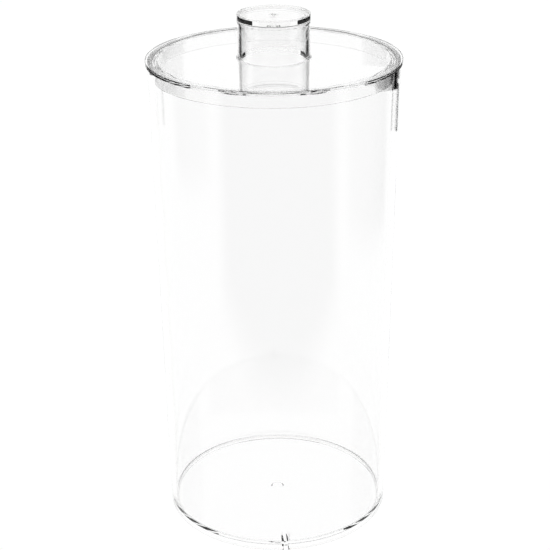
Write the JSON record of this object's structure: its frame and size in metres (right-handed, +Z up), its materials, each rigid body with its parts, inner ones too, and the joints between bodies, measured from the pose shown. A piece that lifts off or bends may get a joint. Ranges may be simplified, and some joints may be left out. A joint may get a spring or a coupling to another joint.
{
  "type": "specimen jar",
  "caption": "Tall clear plastic display jar, slightly tapered, on a foot ring, with a lift-off flanged lid and a hollow cylindrical knob.",
  "frame": {"origin": "centre of the foot ring, on the surface that the jar stands on", "axes": "+Z up along the jar's axis; -Y towards the front, where the drain notch is"},
  "size_m": [0.12, 0.12, 0.2565],
  "materials": {
    "clear_jar_plastic": "polished, fully clear moulded plastic",
    "clear_lid_plastic": "polished, fully clear moulded plastic"
  },
  "bodies": {
    "jar": {"jar_body": "clear_jar_plastic"},
    "lid": {"lid": "clear_lid_plastic"}
  },
  "joints": [
    {"name": "lid_lift", "type": "slide", "parent": "jar", "child": "lid", "axis": [0, 0, 1], "range_m": [0, 0.03]}
  ]
}
